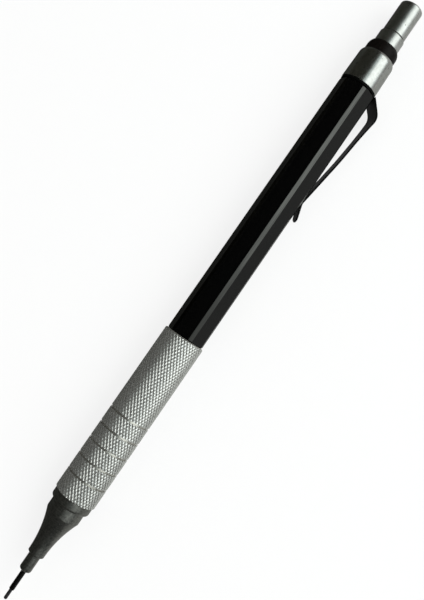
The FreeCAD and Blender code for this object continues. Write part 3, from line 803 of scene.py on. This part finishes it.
def bent_line(corners, bends):
    """Places along a bent line. Each inner corner is rounded to its bend, and a straight run has a
    place in every few tenths of a millimetre."""
    places = [Vector(corners[0])]
    for number, bend in enumerate(bends):
        before, corner, after = (Vector(corner) for corner in corners[number:number + 3])
        ahead = (corner - before).normalized()
        away = (after - corner).normalized()
        turn = ahead.angle_signed(away)
        cut = bend * math.tan(abs(turn) / 2)
        heading = math.atan2(ahead.y, ahead.x)
        steps = max(CLIP_BEND_LEAST_STEPS, math.ceil(abs(turn) / CLIP_BEND_STEP))
        place = corner - ahead * cut
        run_to(places, place)
        chord = 2 * bend * math.sin(abs(turn) / steps / 2)
        for step in range(steps):
            angle = heading - turn * (step + 0.5) / steps
            place = place + Vector((math.cos(angle), math.sin(angle))) * chord
            places.append(place)
    run_to(places, Vector(corners[-1]))
    return places


def run_to(places, end):
    """Adds the places of a straight run, from the last one to its end."""
    start = places[-1]
    steps = max(1, math.ceil((end - start).length / CLIP_STEP))
    for step in range(1, steps + 1):
        places.append(start.lerp(end, step / steps))


def clip_half_width(x):
    """The clip's half width at a station: wide at the root, slim along the barrel, round at the toe."""
    shoulder = CLIP_SHOULDER[0]
    stations = [(CLIP_ROOT[0], CLIP_ROOT_HALF), (shoulder, CLIP_ROOT_HALF),
                (shoulder - CLIP_NECK_RUN, CLIP_NECK_HALF), (shoulder - CLIP_TAPER_RUN, CLIP_HALF),
                (CLIP_TIP[0], CLIP_HALF)]
    total = 0
    for number in range(-CLIP_BLEND_SAMPLES, CLIP_BLEND_SAMPLES + 1):
        near = x + number * CLIP_BLEND / CLIP_BLEND_SAMPLES
        near = min(max(near, stations[-1][0]), stations[0][0])
        for (right, wide), (left, slim) in zip(stations, stations[1:]):
            if left <= near <= right:
                total += slim + (wide - slim) * (near - left) / (right - left)
                break
    half = total / (2 * CLIP_BLEND_SAMPLES + 1)
    past_centre = CLIP_TIP[0] + CLIP_HALF - x
    if past_centre > 0:
        half = math.sqrt(max(CLIP_HALF ** 2 - past_centre ** 2, CLIP_TOE_HALF ** 2))
    return half


def pocket_clip(finish):
    """The clip's arm: a strip drawn along its bent line, tapered as it goes, given its thickness,
    cut level at the root, its edges broken, and turned to where the clip lies."""
    rise = (Vector(CLIP_ROOT) - Vector(CLIP_SHOULDER)).normalized() * CLIP_ROOT_OVERRUN
    line = [Vector(CLIP_ROOT) + rise, CLIP_SHOULDER, CLIP_BOW, CLIP_TOUCH, CLIP_TIP]
    places = bent_line(line, CLIP_BENDS)
    first = places[0]
    width = 2 * CLIP_ROOT_HALF
    arm = begin("pocket_clip", bpy.ops.mesh.primitive_plane_add, size=width,
                location=(first.x + width / 2, 0, first.y))
    select_corners(arm, lambda place: place.x > first.x + width / 2)
    bpy.ops.mesh.delete(type="VERT")
    bpy.ops.mesh.select_all(action="SELECT")
    for last, place in zip(places, places[1:]):
        step = place - last
        bpy.ops.mesh.extrude_region_move(TRANSFORM_OT_translate={"value": (step.x, 0, step.y)})
        half = clip_half_width(place.x)
        bpy.ops.transform.resize(value=(1, 2 * half / width, 1), center_override=(place.x, 0, place.y))
        width = 2 * half
    bpy.ops.object.mode_set(mode="OBJECT")
    sheet = arm.modifiers.new("sheet", "SOLIDIFY")
    sheet.thickness = CLIP_THICKNESS
    sheet.offset = 0
    sheet.use_even_offset = True
    bpy.ops.object.modifier_apply(modifier=sheet.name)
    bpy.ops.object.mode_set(mode="EDIT")
    bpy.ops.mesh.select_all(action="SELECT")
    bpy.ops.mesh.bisect(plane_co=(0, 0, CLIP_ROOT[1]), plane_no=(0, 0, 1), threshold=NEAR,
                        clear_inner=True, use_fill=True)
    close_up(arm)
    break_edges(arm, CLIP_EDGE_ROUND)
    bpy.ops.object.mode_set(mode="EDIT")
    turn_to_clip()
    close_up(arm, SHEET_SMOOTH_ANGLE)
    stand_in(arm, "clip_arm", "clip_arm", finish)


def graphite_lead():
    """The lead, its writing end worn round."""
    start, end = span("lead")
    radius = reach("lead")
    lead = turned("graphite_lead", [(start, radius, LEAD_POINT_ROUND), (end, radius)],
                  sides=LEAD_SIDES)
    stand_in(lead, "lead", "lead", graphite())


def guide_sleeve():
    """The thin tube that the lead runs in, with a rounded mouth and a thicker root."""
    start = span("guide_sleeve")[0]
    nose = span("tip_cone")[0]
    sleeve = turned("thin_sleeve", [
        (start, SLEEVE_BORE), (start, SLEEVE_RADIUS, SLEEVE_MOUTH_ROUND), (nose, SLEEVE_RADIUS),
        (nose, SLEEVE_SEAT_RADIUS), (SLEEVE_END, SLEEVE_SEAT_RADIUS), (SLEEVE_END, SLEEVE_BORE),
        (start, SLEEVE_BORE)], sides=SLEEVE_SIDES)
    finish = drawn_steel("dark_drawn_steel", (0.006, 0.006, 0.006), (0.02, 0.02, 0.019), 0.36)
    stand_in(sleeve, "guide_sleeve", "pencil_body", finish)


def tip_cone():
    """The dark tip: round nose, a step, a trumpet flare, a collar and a rounded flange."""
    nose, end = span("tip_cone")
    grip = span("grip_sleeve")[0]
    step = nose + NOSE_LENGTH
    flare = step + STEP_LENGTH
    collar = flare + FLARE_LENGTH
    flange = collar + COLLAR_LENGTH
    shoulder = crown((flange + FLANGE_ROUND, FLANGE_RADIUS), (flange, COLLAR_RADIUS))
    outline = [(nose, SLEEVE_SEAT_RADIUS), (nose, NOSE_RADIUS, NOSE_ROUND), (step, NOSE_RADIUS),
               (flare, STEP_RADIUS, STEP_ROUND)]
    outline += crown((flare, STEP_RADIUS), (collar, COLLAR_RADIUS), steps=FLARE_STEPS)[1:-1]
    outline += [(collar, COLLAR_RADIUS, COLLAR_ROUND), (flange, COLLAR_RADIUS)]
    outline += shoulder[-2::-1]
    outline += [(grip, FLANGE_RADIUS), (grip, GRIP_BORE), (end, GRIP_BORE), (end, CASE_SEAT),
                (span("clutch_case")[0], CASE_SEAT), (span("clutch_case")[0], CLUTCH_CHAMBER),
                (span("lead_retainer")[1], CLUTCH_CHAMBER), (span("lead_retainer")[1], RETAINER_SEAT),
                (SLEEVE_END, RETAINER_SEAT), (SLEEVE_END, SLEEVE_SEAT_RADIUS),
                (nose, SLEEVE_SEAT_RADIUS)]
    tip = turned("turned_tip", outline)
    stand_in(tip, "tip_cone", "pencil_body", gunmetal())


def ferrule(finish):
    """The bright band over the barrel's top end, slightly tapered, with a rounded shoulder."""
    start, end = span("ferrule")
    outline = [(start, FERRULE_BORE), (start, reach("ferrule"), FERRULE_EDGE_ROUND)]
    outline += crown((end - FERRULE_SHOULDER, FERRULE_TOP_RADIUS), (end, FERRULE_BORE + FERRULE_TOP_FACE))
    outline += [(end, FERRULE_BORE), (start, FERRULE_BORE)]
    band = turned("bright_ferrule", outline)
    stand_in(band, "ferrule", "pencil_body", finish)


def guide_ring():
    """The black domed ring that the button's neck slides in."""
    start, end = span("guide_ring")
    radius = reach("guide_ring")
    outline = [(start, GUIDE_BORE), (start, radius)]
    outline += crown((end - GUIDE_DOME, radius), (end, GUIDE_BORE + GUIDE_TOP_FACE), steps=GUIDE_STEPS)
    outline += [(end, GUIDE_BORE), (start, GUIDE_BORE)]
    ring = turned("domed_ring", outline)
    finish = satin_black("smooth_black", (0.0015, 0.0015, 0.0015), (0.007, 0.005, 0.004), 0.42, MICRON,
                         0.08)
    stand_in(ring, "guide_ring", "pencil_body", finish)


def eraser_holder(finish):
    """The button's neck and the thin cup that holds the eraser."""
    start, end = span("eraser_holder")
    tube_end = span("lead_tube")[1]
    tube_radius = reach("lead_tube")
    outline = [(start, tube_radius), (start, NECK_RADIUS), (NECK_END, NECK_RADIUS, NECK_ROUND),
               (NECK_END, HOLDER_SPIGOT_RADIUS), (end, HOLDER_SPIGOT_RADIUS, HOLDER_RIM_ROUND),
               (end, ERASER_BORE), (HOLDER_FLOOR, ERASER_BORE), (HOLDER_FLOOR, HOLDER_TUBE_BORE),
               (tube_end, HOLDER_TUBE_BORE), (tube_end, tube_radius), (start, tube_radius)]
    holder = turned("button_neck", outline)
    stand_in(holder, "eraser_holder", "push_rod", finish)


def eraser():
    """The white eraser, rounded at its rubbing end."""
    start, end = span("eraser")
    radius = reach("eraser")
    rubber = turned("white_eraser", [(start, radius), (end, radius, ERASER_ROUND)],
                    sides=ERASER_SIDES)
    finish = soft_plastic("eraser_rubber", (0.44, 0.435, 0.415), (0.53, 0.53, 0.51), 0.85, 10 * MICRON)
    stand_in(rubber, "eraser", "push_rod", finish)


def button_cap(finish):
    """The push button: a thin drawn cap with a rounded top edge."""
    start, end = span("button_cap")
    start += CAP_SEAM
    radius = reach("button_cap")
    bore = radius - CAP_WALL
    cap = turned("push_button", [(end - CAP_END_WALL, bore, CAP_INNER_ROUND), (start, bore),
                                 (start, radius, CAP_RIM_ROUND), (end, radius, CAP_ROUND)])
    stand_in(cap, "button_cap", "button_cap", finish)


def return_spring(finish):
    """The return spring: a ring of wire wound along the stem, at one length, though the real one
    shortens under the button.
    """
    first, last = span("return_spring")
    coil = reach("return_spring") - SPRING_WIRE / 2
    spring = begin("wound_spring", bpy.ops.mesh.primitive_circle_add, vertices=SPRING_WIRE_SIDES,
                   radius=SPRING_WIRE / 2, location=(first + SPRING_WIRE / 2, 0, -coil),
                   rotation=(QUARTER, 0, 0))
    bpy.ops.object.mode_set(mode="OBJECT")
    winding = spring.modifiers.new("winding", "SCREW")
    winding.axis = "X"
    winding.iterations = SPRING_TURNS
    winding.screw_offset = (last - first - SPRING_WIRE) / SPRING_TURNS
    winding.steps = SPRING_STEPS
    winding.render_steps = SPRING_STEPS
    bpy.ops.object.modifier_apply(modifier=winding.name)
    bpy.ops.object.mode_set(mode="EDIT")
    bpy.ops.mesh.select_all(action="SELECT")
    bpy.ops.mesh.fill_holes(sides=0)
    close_up(spring, SPRING_SMOOTH_ANGLE)
    stand_in(spring, "return_spring", "pencil_body", finish)
    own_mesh(spring)


def inner_pieces():
    """The pieces inside the pencil keep their own shapes and get their finishes. Only the spring is
    wound anew."""
    brass = machined_brass()
    tube = soft_plastic("natural_plastic", (0.42, 0.42, 0.395), (0.5, 0.5, 0.475), 0.4, 2 * MICRON)
    rubber = soft_plastic("black_rubber", (0.02, 0.02, 0.02), (0.04, 0.04, 0.04), 0.7, 6 * MICRON)
    finishes = {"clutch_ring": brass, "clutch_case": brass, "collet_stem": brass,
                "collet_jaw_1": brass, "collet_jaw_2": brass, "collet_jaw_3": brass,
                "thread_bush": brass, "lead_tube": tube,
                "lead_retainer": rubber, "spare_leads": bpy.data.materials["graphite"]}
    for node, finish in finishes.items():
        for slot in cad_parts[node].material_slots:
            slot.material = finish
    return_spring(drawn_steel("spring_wire", (0.42, 0.42, 0.42), (0.62, 0.62, 0.61), 0.28))


bright = turned_aluminium("bright_aluminium", (0.428, 0.433, 0.423), (0.455, 0.46, 0.45), 0.24)
satin = turned_aluminium("satin_aluminium", (0.469, 0.474, 0.464), (0.498, 0.503, 0.493), 0.33)
graphite_lead()
guide_sleeve()
tip_cone()
knurled_grip()
hexagonal_barrel()
sheet_black = black_sheet()
clip_washer(sheet_black)
pocket_clip(sheet_black)
ferrule(bright)
guide_ring()
eraser_holder(satin)
eraser()
button_cap(satin)
inner_pieces()


# ---- Table, light and camera ----

STAGE_ROUGHNESS = 0.9
STAGE_GRAIN = 0.985
WORLD_COLOUR = (1.0, 0.99, 0.97)
WORLD_STRENGTH = 0.42
TABLE_WHITE = 0.92
TABLE_LIFT = 0.8
TABLE_SIZE = 8
WINDOW_DISTANCE = 0.6
WINDOW_ENDS = (-0.2, 1.15)
WINDOW_EDGES = (math.radians(7.2), math.radians(73.2))
WINDOW_BRIGHTNESS = 0.55
WINDOW_COLOUR = (0.76, 1.0, 0.98)
WINDOW_CORE_AHEAD = 0.01
WINDOW_CORE_EDGES = (math.radians(21.2), math.radians(67.2))
WINDOW_CORE_BRIGHTNESS = 1.45
WINDOW_CORE_COLOUR = (1.0, 1.0, 0.98)
LAMP_DISTANCE = 0.9
LAMP_ENDS = (-0.8, 0.8)
FILL_EDGES = (math.radians(-75), math.radians(-25))
KEY_EDGES = (math.radians(20), math.radians(70))
FILL_BRIGHTNESS = 0.42
KEY_BRIGHTNESS = 0.62
DRAPE_EDGES = (math.radians(-91), math.radians(7.2))
DRAPE_DISTANCE = 0.4
DRAPE_END = 3.0
DRAPE_BLACK = (0.035, 0.034, 0.028)
SCREEN_EDGES = (math.radians(4.2), math.radians(91))
SCREEN_DISTANCE = 0.7
SCREEN_BLACK = (0.03, 0.033, 0.03)
CARD_LIFT = 0.2 * MM
CARD_FAR = 3.0
CARD_NEAR = 5 * MM
CARD_PAST_END = 12 * MM
CARD_BLACK = (0.06, 0.06, 0.054)
CARD_GREY = (0.52, 0.515, 0.5)


def pale_finish(name, colour):
    """A dull even finish for the stage, with a faint grain."""
    finish, tree, shader = new_finish(name, colour, 0.0, STAGE_ROUGHNESS)
    grain = noise(tree, (300, 300, 300), detail=2.0)
    darker = tuple(part * STAGE_GRAIN for part in colour)
    vary_colour(tree, shader, two_tone(tree, grain, darker, colour))
    shader.inputs["Specular IOR Level"].default_value = 0.0
    return finish


def table_top():
    """A white table. Part of its whiteness is its own, where it is seen or mirrored, so that the
    pencil's shadow stays soft."""
    bpy.ops.object.select_all(action="DESELECT")
    bpy.ops.mesh.primitive_plane_add(size=TABLE_SIZE, location=(0, 0, -reach("grip_sleeve")))
    table = bpy.context.object
    table.name = "table_top"
    finish = pale_finish("table_white", (TABLE_WHITE, TABLE_WHITE, TABLE_WHITE))
    tree = finish.node_tree
    seen = add_node(tree, "ShaderNodeLightPath").outputs
    either = calculate(tree, "MAXIMUM", seen["Is Camera Ray"], seen["Is Glossy Ray"])
    any_of = calculate(tree, "MAXIMUM", either, seen["Is Transmission Ray"])
    share = calculate(tree, "MULTIPLY", any_of, TABLE_LIFT)
    white = add_node(tree, "ShaderNodeEmission")
    white.inputs["Color"].default_value = (*WHITE, 1)
    white.inputs["Strength"].default_value = 1.0
    blend = add_node(tree, "ShaderNodeMixShader")
    tree.links.new(share, blend.inputs[0])
    tree.links.new(tree.nodes["Principled BSDF"].outputs["BSDF"], blend.inputs[1])
    tree.links.new(white.outputs["Emission"], blend.inputs[2])
    tree.links.new(blend.outputs["Shader"], tree.nodes["Material Output"].inputs["Surface"])
    table.data.materials.append(finish)


def around(angle, distance):
    """A place beside the pencil's middle, at an angle from straight up towards the clip's side."""
    return Vector((CAMERA_STATION, -distance * math.sin(angle), distance * math.cos(angle)))


def soft_box(name, edges, distance, ends, brightness, colour):
    """A large lamp beside the pencil, between two angles and two stations, facing the pencil."""
    middle = (edges[0] + edges[1]) / 2
    width = 2 * distance * math.tan((edges[1] - edges[0]) / 2)
    length = ends[1] - ends[0]
    lamp = bpy.data.lights.new(name, "AREA")
    lamp.shape = "RECTANGLE"
    lamp.size = length
    lamp.size_y = width
    lamp.energy = brightness * math.pi * width * length
    lamp.color = colour
    box = bpy.data.objects.new(name, lamp)
    bpy.context.scene.collection.objects.link(box)
    back = around(middle, 1.0) - around(middle, 0.0)
    along = Vector((1, 0, 0))
    side = back.cross(along)
    place = around(middle, distance) + along * (ends[0] + ends[1]) / 2
    box.matrix_world = Matrix.Translation(place) @ Matrix((along, side, back)).transposed().to_4x4()
    box.visible_camera = False
    return box


def mirrored_only(sheet, colour):
    """Marks a sheet of the studio that shows only in the pencil's own reflections, so that it
    neither hides the table nor throws a shadow on it."""
    sheet.data.materials.append(pale_finish(sheet.name + "_finish", colour))
    sheet.visible_camera = False
    sheet.visible_diffuse = False
    sheet.visible_shadow = False


def dark_sheet(name, edges, distance, ends, colour):
    """A dark curved sheet round the pencil, between two angles and two stations."""
    sheet = begin(name, bpy.ops.mesh.primitive_cylinder_add, vertices=SHEET_SIDES, radius=distance,
                  depth=ends[1] - ends[0], end_fill_type="NOTHING", rotation=(0, QUARTER, 0),
                  location=(CAMERA_STATION + (ends[0] + ends[1]) / 2, 0, 0))
    select_corners(sheet, lambda place: not edges[0] <= math.atan2(-place.y, place.z) <= edges[1])
    bpy.ops.mesh.delete(type="VERT")
    bpy.ops.object.mode_set(mode="OBJECT")
    mirrored_only(sheet, colour)


def laid_card(name, low, high, colour):
    """A card laid on the table between two corners, given as (x, y)."""
    middle = ((low[0] + high[0]) / 2, (low[1] + high[1]) / 2, CARD_LIFT - reach("grip_sleeve"))
    card = begin(name, bpy.ops.mesh.primitive_plane_add, size=1, location=middle)
    bpy.ops.transform.resize(value=(high[0] - low[0], high[1] - low[1], 1), center_override=middle)
    bpy.ops.object.mode_set(mode="OBJECT")
    mirrored_only(card, colour)


def studio():
    """Pale surroundings, and a large soft window on the clip's side towards the button. Dark and
    grey sheets give the metal something to mirror, and two lamps that it doesn't mirror light the
    table."""
    world = bpy.data.worlds.new("studio")
    bpy.context.scene.world = world
    world.use_nodes = True
    background = world.node_tree.nodes["Background"]
    background.inputs["Color"].default_value = (*WORLD_COLOUR, 1)
    background.inputs["Strength"].default_value = WORLD_STRENGTH
    dark_sheet("drape", DRAPE_EDGES, DRAPE_DISTANCE, (-DRAPE_END, DRAPE_END), DRAPE_BLACK)
    dark_sheet("screen", SCREEN_EDGES, SCREEN_DISTANCE, (-DRAPE_END, WINDOW_ENDS[0]), SCREEN_BLACK)
    tip = span("lead")[0] - CARD_PAST_END
    top = span("button_cap")[1] + CARD_PAST_END
    laid_card("far_card", (-CARD_FAR, CARD_NEAR), (CARD_FAR, CARD_FAR), CARD_BLACK)
    laid_card("near_card", (-CARD_FAR, -CARD_FAR), (CARD_FAR, -CARD_NEAR), CARD_GREY)
    laid_card("tip_card", (-CARD_FAR, -CARD_NEAR), (tip, CARD_NEAR), CARD_BLACK)
    laid_card("top_card", (top, -CARD_NEAR), (CARD_FAR, CARD_NEAR), CARD_BLACK)
    soft_box("window", WINDOW_EDGES, WINDOW_DISTANCE, WINDOW_ENDS, WINDOW_BRIGHTNESS, WINDOW_COLOUR)
    soft_box("window_core", WINDOW_CORE_EDGES, WINDOW_DISTANCE - WINDOW_CORE_AHEAD, WINDOW_ENDS,
             WINDOW_CORE_BRIGHTNESS, WINDOW_CORE_COLOUR)
    for name, edges, brightness in (("fill", FILL_EDGES, FILL_BRIGHTNESS),
                                    ("key", KEY_EDGES, KEY_BRIGHTNESS)):
        lamp = soft_box(name, edges, LAMP_DISTANCE, LAMP_ENDS, brightness, WHITE)
        lamp.visible_glossy = False


def camera():
    """The camera looks down on the pencil from near its middle, a little towards the clip."""
    towards = Vector((0, -math.sin(CAMERA_TILT), math.cos(CAMERA_TILT)))
    across = Vector((0, -math.cos(CAMERA_TILT), -math.sin(CAMERA_TILT)))
    along = Vector((1, 0, 0))
    forward = along * math.sin(CAMERA_LEAN) - towards * math.cos(CAMERA_LEAN)
    upright = along * math.cos(CAMERA_LEAN) + towards * math.sin(CAMERA_LEAN)
    right = upright * math.sin(CAMERA_ROLL) + across * math.cos(CAMERA_ROLL)
    up = upright * math.cos(CAMERA_ROLL) - across * math.sin(CAMERA_ROLL)
    lens = bpy.data.cameras.new("camera")
    lens.lens = CAMERA_LENS
    lens.sensor_width = CAMERA_SENSOR
    lens.shift_x, lens.shift_y = CAMERA_SHIFT
    lens.clip_start, lens.clip_end = CAMERA_CLIP
    seat = bpy.data.objects.new("camera", lens)
    bpy.context.scene.collection.objects.link(seat)
    place = Vector((CAMERA_STATION, 0, 0)) + towards * CAMERA_DISTANCE
    turn = Matrix((right, up, -forward)).transposed().to_4x4()
    seat.matrix_world = Matrix.Translation(place) @ turn
    bpy.context.scene.camera = seat


table_top()
studio()
camera()
bpy.context.scene.view_settings.view_transform = "Standard"
